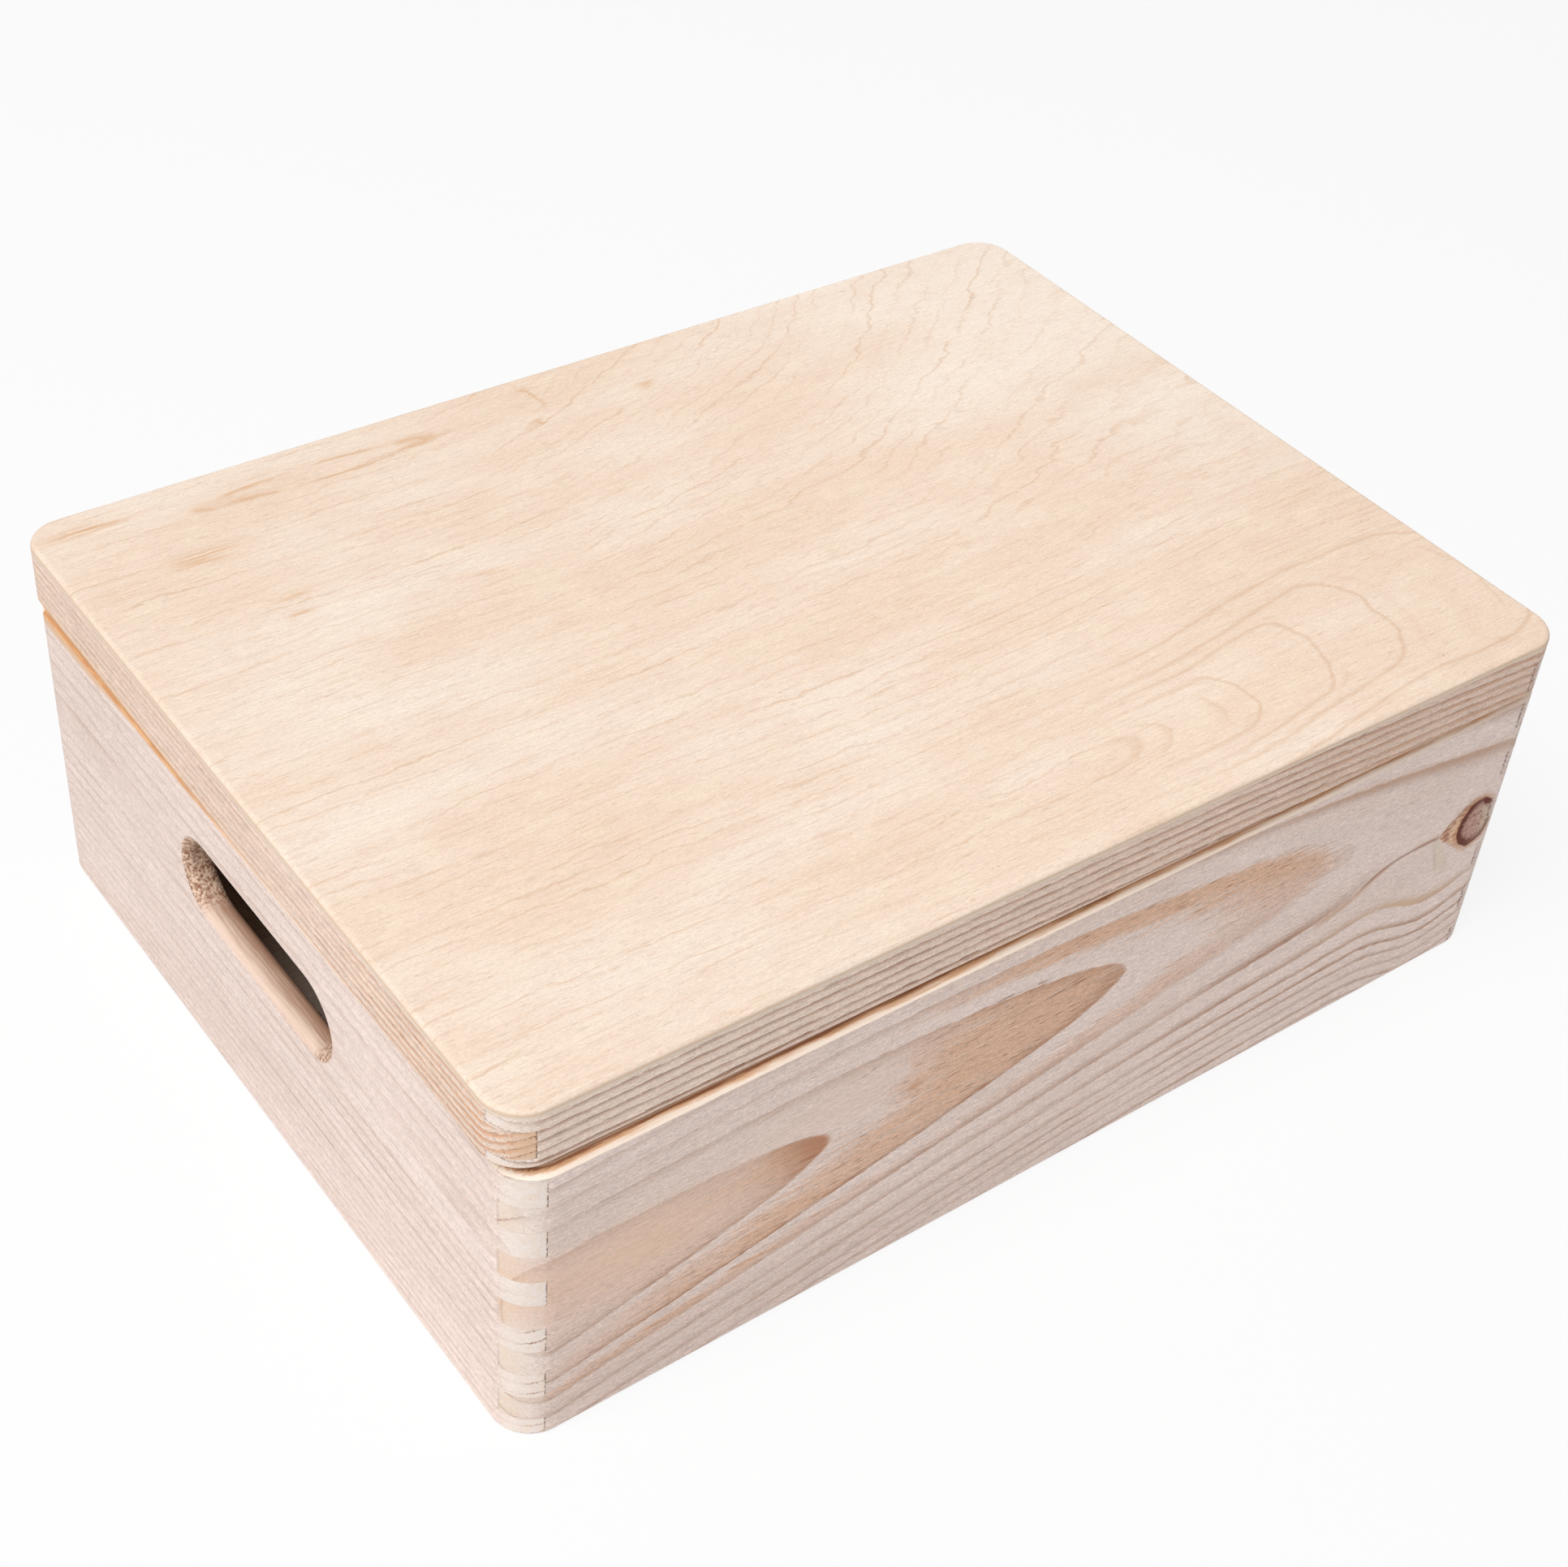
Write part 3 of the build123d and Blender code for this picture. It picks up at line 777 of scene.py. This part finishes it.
def left_end_board():
    """The left end: fine, even lines, the hand slot, and an orange band of painted shade and bounce light
    under the lid.
    """
    board = Board("pine_left", "left", seed=11.0,
                  pith_height=(75.0, 0.03, -0.00005), pith_depth=(-6.0,), rings=LEFT_RINGS, wobble=0.5)
    u, v = board.u, board.v
    line = 0.27 + board.grain(0.02, 0.08) * 0.8 + ovals(u, v, DENSER_LINE_PLACES)
    paint_rings(board, PINE, line, streaks=0.6)
    # Painted shade and bounce light: an orange band below the seam, fading out towards the front
    seam_shade_edge = SEAM_SHADE_EDGE_V + u * 0.03 + board.grain(0.05, 0.3, detail=3.0) * 4.0
    seam_shaded = smooth(-0.8, 0.8, v - seam_shade_edge) * smooth(SEAM_SHADE_STARTS_U, SEAM_SHADE_FULL_U, u)
    board.paint(seam_shaded * 0.85, SEAM_SHADE_TAN)
    # Painted light: the board is made brighter towards the front
    board.base = brightened(board.base, 0.985 + smooth(PAINTED_LIGHT_FROM_U, PAINTED_LIGHT_FULL_U, u) * 0.065)
    paint_corner(board, DEPTH - u, 0.5)
    paint_end_grain(board, arcs=smooth(ARCS_TOP, ARCS_TOP - 8.0, v) * smooth(0.0, 6.0, board.w) * 1.2)
    paint_slot_wall(board)
    # The bevel, with its painted shade and the orange band of painted shade and bounce light at the back
    paint_meeting_bevel(board, smooth(SEAM_SHADE_STARTS_U, SEAM_SHADE_FULL_U, u))
    return board.finish()


# The boards that the photograph doesn't show: plain lines

def finish_plain_board(board, line, brown=0.0, streaks=1.0, has_slot=False):
    paint_rings(board, PINE, line + board.grain(0.02, 0.06) * 0.8, brown, streaks=streaks)
    paint_end_grain(board)
    if has_slot:
        paint_slot_wall(board)
    paint_meeting_bevel(board)
    return board.finish()


def right_end_board():
    board = Board("pine_right", "right", seed=23.0,
                  pith_height=(38.0, 0.05), pith_depth=(26.0, 0.05), rings=even_rings(4.6), wobble=0.6)
    return finish_plain_board(board, line=0.55, streaks=0.8, has_slot=True)


def back_board():
    board = Board("pine_back", "back", seed=31.0,
                  pith_height=(52.0, -0.03, 0.0001), pith_depth=(30.0, 0.06),
                  rings=even_rings(5.4), wobble=0.9)
    brown = smooth(-0.1, 0.2, board.grain(0.008, 0.03)) * smooth(62.0, 50.0, board.radius) * 0.7
    return finish_plain_board(board, line=0.65, brown=brown)


# The lid's rails

LID_FRONT_GREY = (242, 233, 229)
# The front rail's lines fade from here to its right end, and its lower part is greyer
LID_LINES_FADE_U = 240.0
LID_RIGHT_U = 390.0
LID_GREY_TOP = 122.0
# Levels of the end rail's finger in the lid's right front corner, as far as dirt lies beside it
LID_FINGER_LOW = 115.5
LID_FINGER_HIGH = 128.5
# How the rings of the left rail rise to the front corner, as (along, up)
RISE_TO_CORNER = [(0.0, 51.0), (250.0, 51.5), (285.0, 53.0), (DEPTH, 56.5)]
NEAR_CORNER_PLACES = [(285.0, 125.0, 60.0, 14.0, 0.0, 1.0)]
# An orange band of painted shade and bounce light above the seam at the back, and its tone
LID_SEAM_SHADE_PLACES = [(60.0, 114.0, 90.0, 2.4, 0.0, 0.7)]
LID_SEAM_SHADE = (236, 186, 130)


def lid_front_rail():
    board = Board("pine_lid_front", "front", on_lid=True, seed=41.0,
                  pith_height=(30.0, 0.004, 0.0, -1.7e-7), pith_depth=(20.0,),
                  rings=even_rings(3.6), wobble=0.5)
    line = 1.15 + board.grain(0.02, 0.06) * 0.9 - smooth(LID_LINES_FADE_U, LID_RIGHT_U, board.u) * 0.45
    rightward = smooth(0.0, LID_RIGHT_U, board.u)
    lower = smooth(LID_GREY_TOP, LID_GREY_TOP - 9.0, board.v)
    paint_rings(board, BROWN_PINE, line, 0.15 + rightward * 0.45)
    board.paint(rightward * 0.85 + lower * 0.15, LID_FRONT_GREY, "MULTIPLY")
    paint_corner(board, board.u, 0.3)
    paint_end_grain(board, arcs=0.9, dirt=0.3)
    above = smooth(LID_FINGER_LOW, LID_FINGER_LOW + 1.0, board.v)
    paint_right_joint(board, above * smooth(LID_FINGER_HIGH, LID_FINGER_HIGH - 1.0, board.v))
    paint_meeting_bevel(board)
    return board.finish()


def lid_left_rail():
    board = Board("pine_lid_left", "left", on_lid=True, seed=53.0,
                  pith_height=(50.0,), pith_depth=(20.0,), rings=even_rings(2.9), wobble=0.5,
                  push=lambda u, v: RISE_TO_CORNER[0][1] - curve_of(u, RISE_TO_CORNER))
    u, v = board.u, board.v
    near_corner = ovals(u, v, NEAR_CORNER_PLACES)
    line = 0.45 + board.grain(0.02, 0.08) * 0.8 + near_corner * 0.55
    paint_rings(board, ORANGE_PINE, line, 0.1 + near_corner * 0.7, streaks=0.8)
    # Painted shade and bounce light: an orange band along the seam at the back
    board.paint(ovals(u, v, LID_SEAM_SHADE_PLACES), LID_SEAM_SHADE)
    paint_end_grain(board, END_WARM, share=0.85, arcs=0.9)
    # The bevel, with its painted shade and the orange band of painted shade and bounce light at the back
    paint_meeting_bevel(board, smooth(SEAM_SHADE_STARTS_U, SEAM_SHADE_FULL_U, u))
    return board.finish()


def lid_right_rail():
    board = Board("pine_lid_right", "right", on_lid=True, seed=61.0,
                  pith_height=(180.0,), pith_depth=(20.0,), rings=even_rings(3.6), wobble=0.6)
    return finish_plain_board(board, line=0.8)


def lid_back_rail():
    board = Board("pine_lid_back", "back", on_lid=True, seed=71.0,
                  pith_height=(40.0, 0.02), pith_depth=(20.0,), rings=even_rings(4.4), wobble=0.7)
    return finish_plain_board(board, line=0.8)


# Plywood

# Tones of the veneer: pale, a little deeper, the ring lines and the pores
VENEER = ((245, 229, 214), (238, 214, 193), (212, 172, 136), (158, 118, 84))
CREAM_VENEER = (247, 231, 209)
SMUDGE_BROWN = (220, 174, 132)
LOOP_TAN = (220, 178, 140)
# The panel's edge: the outer layers, the middle one laid across them, and the glue between
PLY_ALONG = (240, 222, 204)
PLY_ACROSS = (218, 190, 164)
PLY_GLUE = (156, 120, 92)
# Widths and spacings of the ring lines, in millimetres
LID_LINE_SPACING = 5.6
BOTTOM_LINE_SPACING = 4.4
LOOP_HALF_WIDTH = 0.7

# Brown smudges on the lid's top: (along, from the front, half length, half width, slope, strength)
LID_SMUDGES = [
    (18.0, 288.0, 15.0, 2.4, 0.0, 0.9),
    (44.0, 256.0, 11.0, 4.2, 0.0, 0.8),
    (70.0, 279.0, 7.0, 1.8, 0.0, 0.6),
    (58.0, 224.0, 8.0, 1.8, 0.05, 0.6),
    (56.0, 214.0, 4.0, 1.8, 0.0, 0.7),
    (116.0, 204.0, 9.0, 1.6, -0.2, 0.5),
    (222.0, 273.0, 4.0, 2.4, 0.3, 0.6),
]
# Ring lines that close: (along, from the front, half length, half width, where they begin)
LID_LOOPS = [(98.0, 281.0, 40.0, 4.4, -30.0), (158.0, 282.0, 27.0, 18.0, 160.0)]
# Half widths of the arcs on the front right
LID_ARCS = [13.0, 18.4, 23.2, 31.5]
# The top's paler part, which shifts the veneer's tone and is also painted brighter, and the places between
# which the top is painted brighter to the right, as painted light
LID_PALE_PLACES = [(390.0, 260.0, 110.0, 90.0, 0.0, 0.45)]
LID_PAINTED_SHADE_U = 20.0
LID_PAINTED_LIGHT_U = 330.0
# The rise about which the bottom panel's ring lines close
BOTTOM_HILL = [(270.0, 120.0, 130.0, 80.0, 0.0, 38.0)]
# The ring lines' fan and arcs on the lid's top
FAN_START_U = 150.0
FAN_START_V = 118.0
ARC_START_U = 200.0
ARC_MIDDLE_V = 30.0
ARC_TIP_STEP = 5.7


class Veneer(Wood):
    """A plywood panel with the rings that the peeling knife cut through on its faces.

    u runs along the panel and v from its front to its back, in millimetres. depth shifts the
    balance of the veneer's two pale tones, up for the deeper one.
    """

    roughness, bump_mm, bump_strength = 0.58, 0.1, 0.5

    def __init__(self, name, seed, top, thickness, on_lid):
        s = Surface(name)
        self.surface = s
        self.seed = seed
        self.top = top
        self.thickness = thickness
        x, y = s.lid_place() if on_lid else (s.x, s.y)
        self.u = x + LENGTH / 2
        self.v = y + DEPTH / 2
        self.fibre = self.grain(0.10, 2.2, detail=3.0, roughness=0.6)
        self.fine = self.grain(0.4, 5.0, roughness=0.6)
        self.ripple = self.grain(0.05, 0.12, detail=3.0, roughness=0.6)
        self.depth = 0.0

    def grain(self, along, across, detail=2.0, roughness=0.5, level=None):
        """Noise drawn out along the grain. level takes the place of v where the grain is curved."""
        across_place = (self.v if level is None else level) * across
        return noise(self.u * along + self.seed, across_place, self.surface.z * across, detail, roughness)

    def lines(self, level, spacing, width):
        """Ring lines along the contours of level. width is their share of the spacing."""
        count = level * (1.0 / spacing) + 20.0
        number = floor_of(count)
        phase = count - number
        chance = random_of(number, self.seed)
        line = smooth(1.0 - width, 0.93, phase) * smooth(1.0, 0.95, phase)
        return line * (0.3 + chance * 0.7)


def nested_arcs(along, across):
    """How far out a point lies among nested arcs, round at the right and open to the left.

    The arc of half width h ends in a half circle about the point ARC_TIP_STEP * h along the middle line.
    """
    begun = largest(along, 0.0)
    spread = ARC_TIP_STEP * ARC_TIP_STEP - 1.0
    inside = largest(begun * begun - across * across * spread, 0.0)
    rounded = (begun * ARC_TIP_STEP - root(inside)) * (1.0 / spread)
    return largest(absolute(across), rounded)


def lid_level(panel):
    """A height whose contours are the lid's ring lines.

    They run along the lid on the left, fan up towards the back right and close in round arcs,
    open to the left, on the front right.
    """
    u, v = panel.u, panel.v
    drift = panel.grain(0.010, 0.02)
    fan = softly_positive(v - FAN_START_V, 14.0) * softly_positive((u - FAN_START_U) * 0.01, 0.3) * 0.25
    calm = smooth(ARC_START_U, ARC_START_U + 70.0, u) * smooth(ARC_MIDDLE_V + 100.0, ARC_MIDDLE_V + 60.0, v)
    straightened = v - fan + drift * 9.0 + panel.ripple * (8.0 - calm * 5.5) + panel.fibre * 1.2
    panel.across = straightened - ARC_MIDDLE_V - smooth(ARC_START_U + 55.0, ARC_START_U + 150.0, u) * 10.0
    panel.along = u - ARC_START_U + drift * 30.0 + panel.ripple * 6.0
    return nested_arcs(panel.along, panel.across)


def paint_veneer(panel, level, spacing, line_strength, streak_strength):
    """The veneer's tones, and its ring lines along the contours of level, spacing apart."""
    light, deeper, late, dark = VENEER
    patches = panel.grain(0.009, 0.03)
    panel.base = mix_colour(smooth(-0.25, 0.25, patches + panel.depth), light, deeper)
    mottle = noise(panel.u * 0.05, panel.v * 0.09 + panel.seed, panel.surface.z, 3.0, 0.65)
    panel.paint(smooth(-0.05, 0.20, mottle) * 0.3, CREAM_VENEER)
    panel.paint(smooth(0.02, -0.22, mottle) * 0.35, deeper)
    streaks = panel.grain(0.03, 0.5, detail=4.0, roughness=0.65)
    panel.paint(smooth(-0.02, 0.24, streaks) * 0.7 * streak_strength, late)
    broken = smooth(-0.10, 0.10, panel.grain(0.03, 0.10, level=level))
    panel.paint(panel.lines(level, spacing, 0.22) * (0.25 + broken * 0.75) * line_strength, late)
    short = smooth(0.0, 0.16, panel.grain(0.045, 0.35, level=level))
    panel.paint(panel.lines(level + 3.0, spacing * 0.31, 0.45) * short * streak_strength, late)
    dashes = smooth(0.12, 0.24, panel.grain(0.16, 2.2, detail=1.0)) * 0.2
    panel.paint(dashes, dark)
    specks = smooth(0.27, 0.33, panel.grain(0.45, 1.1, detail=1.0)) * 0.4
    panel.paint(specks, dark)
    grit = noise(panel.u, panel.v * 1.3, panel.surface.z, 4.0, 0.8)
    panel.base = brightened(panel.base, 1.0 + panel.fibre * 0.26 + panel.fine * 0.46 + grit * 0.5)
    panel.height = panel.fibre * 0.5 + panel.fine * 0.5 + grit * 0.4 - dashes - specks


def paint_layers(panel):
    """The cross-laid layers on the panel's edge."""
    depth = (panel.top - panel.surface.z) * (1.0 / panel.thickness)
    layer = fraction(depth * 3.0)
    cross = smooth(0.30, 0.36, depth) * smooth(0.70, 0.64, depth)
    ply = mix_colour(cross, PLY_ALONG, PLY_ACROSS)
    glue = bell(layer - 0.02, 0.07) + bell(layer - 0.98, 0.07)
    ply = mix_colour(clamped(glue * 0.3), ply, PLY_GLUE)
    ply = brightened(ply, 1.0 + panel.fine * 0.2)
    edge = smooth(0.80, 0.25, absolute(panel.surface.nz))
    panel.paint(edge * 0.8, ply)


def lid_panel():
    panel = Veneer("ply_lid", 5.0, LID_TOP, LID_PANEL_THICKNESS, True)
    u, v = panel.u, panel.v
    pale_back_right = ovals(u, v, LID_PALE_PLACES)
    panel.depth = 0.05 + smooth(120.0, 280.0, u) * 0.10 - pale_back_right
    fanned = smooth(FAN_START_U + 50.0, FAN_START_U + 170.0, u)
    fanned = fanned * smooth(FAN_START_V + 22.0, FAN_START_V + 92.0, v)
    arched = smooth(ARC_START_U + 15.0, ARC_START_U + 70.0, u)
    arched = arched * smooth(ARC_MIDDLE_V + 60.0, ARC_MIDDLE_V + 36.0, v)
    level = lid_level(panel)
    paint_veneer(panel, level, LID_LINE_SPACING, 0.5 - arched * 0.4, 0.34 - fanned * 0.24)
    ragged = panel.grain(0.06, 0.8, detail=3.0)
    late = VENEER[2]
    panel.paint(ovals(u, v, LID_SMUDGES) * smooth(-0.16, 0.08, ragged), SMUDGE_BROWN)
    for half_width in LID_ARCS:
        beyond = largest(panel.along - ARC_TIP_STEP * half_width, 0.0)
        away = root(panel.across * panel.across + beyond * beyond) - half_width
        panel.paint(bell(away * 1.3) * smooth(ARC_START_U + 5.0, ARC_START_U + 90.0, u) * 0.42, late)
    wave = panel.grain(0.05, 0.10, detail=4.0, roughness=0.65)
    gaps = smooth(-0.12, 0.06, panel.grain(0.06, 0.06, detail=3.0))
    for middle_u, middle_v, half_length, half_width, begin_u in LID_LOOPS:
        a = (u - middle_u) * (1.0 / half_length)
        b = (v - middle_v) * (1.0 / half_width)
        away = root(a * a + b * b) + wave * 0.9
        loop = bell((away - 1.0) * (half_width / LOOP_HALF_WIDTH)) * smooth(begin_u, begin_u + 20.0, u)
        panel.paint(loop * (0.25 + gaps * 0.75) * 0.75, LOOP_TAN)
    # Painted light: the top is made duller at the left and brighter to the right and at the back right
    light = 0.935 + smooth(LID_PAINTED_SHADE_U, LID_PAINTED_LIGHT_U, u) * 0.065 + pale_back_right * 0.05
    panel.base = brightened(panel.base, light)
    paint_layers(panel)
    return panel.finish()


def bottom_panel():
    panel = Veneer("ply_bottom", 15.0, BOTTOM_PANEL_TOP, BOTTOM_PANEL_THICKNESS, False)
    drift = panel.grain(0.010, 0.02)
    hill = ovals(panel.u, panel.v, BOTTOM_HILL)
    level = panel.v * 0.5 + hill + drift * 7.0 + panel.ripple * 2.5
    paint_veneer(panel, level, BOTTOM_LINE_SPACING, 0.42, 0.30)
    paint_layers(panel)
    return panel.finish()


# Brass

LEAF_BRASS = (236, 204, 142)
SCREW_BRASS = (228, 192, 128)
BRASS_DULLING = 0.90
BRASS_ROUGHNESS = 0.34
BRASS_BUMP_MM = 0.02


def brass(name, tone, seed):
    """Satin brass, brushed along the hinge and duller in places."""
    s = Surface(name)
    wear = noise(s.x * 0.25 + seed, s.y * 0.25, s.z * 0.25, 4.0, 0.6)
    brushed = noise(s.x * 0.3 + seed, s.y * 9.0, s.z * 9.0)
    dull = tuple(value * BRASS_DULLING for value in tone)
    base = mix_colour(smooth(-0.2, 0.25, wear), tone, dull)
    roughness = BRASS_ROUGHNESS + wear * 0.12 + brushed * 0.12
    return s.finish(base, roughness, brushed, BRASS_BUMP_MM, strength=0.5, metallic=1.0, specular=BRASS_GLOSS)


# Each node's material

def dress_nodes():
    """Gives each node the material of the function with its name, or a brass."""
    leaf_brass = brass("brass_leaf", LEAF_BRASS, seed=1.0)
    screw_brass = brass("brass_screw", SCREW_BRASS, seed=7.0)
    makers = [front_board, back_board, left_end_board, right_end_board, bottom_panel,
              lid_front_rail, lid_back_rail, lid_left_rail, lid_right_rail, lid_panel]
    maker_of = {maker.__name__: maker for maker in makers}
    for name, obj in nodes.items():
        if name in maker_of:
            material = maker_of[name]()
        else:
            material = screw_brass if "screws" in name else leaf_brass
        obj.data.materials.clear()
        obj.data.materials.append(material)


# Floor, light and camera, in metres and watts

FLOOR_HALF = 6.0
FLOOR_DROP = 0.0002
FLOOR_WHITE = 0.8
# How much of the floor's own white is seen in place of its lit surface, and how white the world is seen
FLOOR_GLOW = 0.85
BACKDROP_WHITE = 0.9
WORLD_LIGHT = 0.47
KEY_PLACE = (-1.18, -0.40, 2.35)
KEY_AIM = (0.0, 0.0, 0.07)
KEY_SIZE = 1.6
KEY_WATTS = 57.0
# The photograph's camera
CAMERA_PLACE = (-0.428599, -0.518098, 0.621654)
CAMERA_TURN = (0.867121, 0.388022, -0.159864, -0.268296)
CAMERA_LENS_MM = 59.081
FILM_WIDTH_MM = 36.0
NEAREST_SEEN = 0.01
FURTHEST_SEEN = 50.0


def seen_directly(tree):
    """1 for rays from the camera, off gloss or through glass, and 0 for rays that carry light."""
    path = tree.nodes.new("ShaderNodeLightPath")
    seen = largest(Num(tree, path.outputs["Is Camera Ray"]), Num(tree, path.outputs["Is Glossy Ray"]))
    return largest(seen, Num(tree, path.outputs["Is Transmission Ray"]))


def blend_shaders(tree, share, first, second, output):
    blend = tree.nodes.new("ShaderNodeMixShader")
    feed(tree, blend.inputs[0], share)
    tree.links.new(first.outputs[0], blend.inputs[1])
    tree.links.new(second.outputs[0], blend.inputs[2])
    tree.links.new(blend.outputs[0], output.inputs["Surface"])


def make_floor():
    """A pale floor that keeps the shadow and reads as white."""
    half = FLOOR_HALF
    corners = [(-half, -half, 0), (half, -half, 0), (half, half, 0), (-half, half, 0)]
    mesh = bpy.data.meshes.new("floor")
    mesh.from_pydata(corners, [], [(0, 1, 2, 3)])
    obj = bpy.data.objects.new("floor", mesh)
    scene.collection.objects.link(obj)
    obj.location.z = -FLOOR_DROP
    material = bpy.data.materials.new("floor")
    material.use_nodes = True
    tree = material.node_tree
    tree.nodes.clear()
    output = tree.nodes.new("ShaderNodeOutputMaterial")
    matt = tree.nodes.new("ShaderNodeBsdfDiffuse")
    matt.inputs["Color"].default_value = (FLOOR_WHITE, FLOOR_WHITE, FLOOR_WHITE, 1.0)
    white = tree.nodes.new("ShaderNodeEmission")
    blend_shaders(tree, seen_directly(tree) * FLOOR_GLOW, matt, white, output)
    mesh.materials.append(material)


def make_world():
    """Even white light from all round, seen as plain white."""
    world = bpy.data.worlds.new("studio")
    scene.world = world
    world.use_nodes = True
    tree = world.node_tree
    tree.nodes.clear()
    output = tree.nodes.new("ShaderNodeOutputWorld")
    light = tree.nodes.new("ShaderNodeBackground")
    light.inputs["Strength"].default_value = WORLD_LIGHT
    white = tree.nodes.new("ShaderNodeBackground")
    white.inputs["Color"].default_value = (BACKDROP_WHITE, BACKDROP_WHITE, BACKDROP_WHITE, 1.0)
    blend_shaders(tree, seen_directly(tree), light, white, output)


def make_key_lamp():
    """A broad soft lamp above the left end."""
    data = bpy.data.lights.new("key", "AREA")
    data.shape = "DISK"
    data.size = KEY_SIZE
    data.energy = KEY_WATTS
    obj = bpy.data.objects.new("key", data)
    scene.collection.objects.link(obj)
    obj.location = KEY_PLACE
    obj.rotation_mode = "QUATERNION"
    obj.rotation_quaternion = (Vector(KEY_AIM) - Vector(KEY_PLACE)).to_track_quat("-Z", "Y")


def make_camera():
    """The camera, above the left front corner as in the photograph."""
    data = bpy.data.cameras.new("camera")
    data.sensor_width = FILM_WIDTH_MM
    data.lens = CAMERA_LENS_MM
    data.clip_start = NEAREST_SEEN
    data.clip_end = FURTHEST_SEEN
    obj = bpy.data.objects.new("camera", data)
    scene.collection.objects.link(obj)
    obj.location = CAMERA_PLACE
    obj.rotation_mode = "QUATERNION"
    obj.rotation_quaternion = Quaternion(CAMERA_TURN)
    scene.camera = obj


dress_nodes()
make_floor()
make_world()
make_key_lamp()
make_camera()
scene.view_settings.view_transform = "Standard"
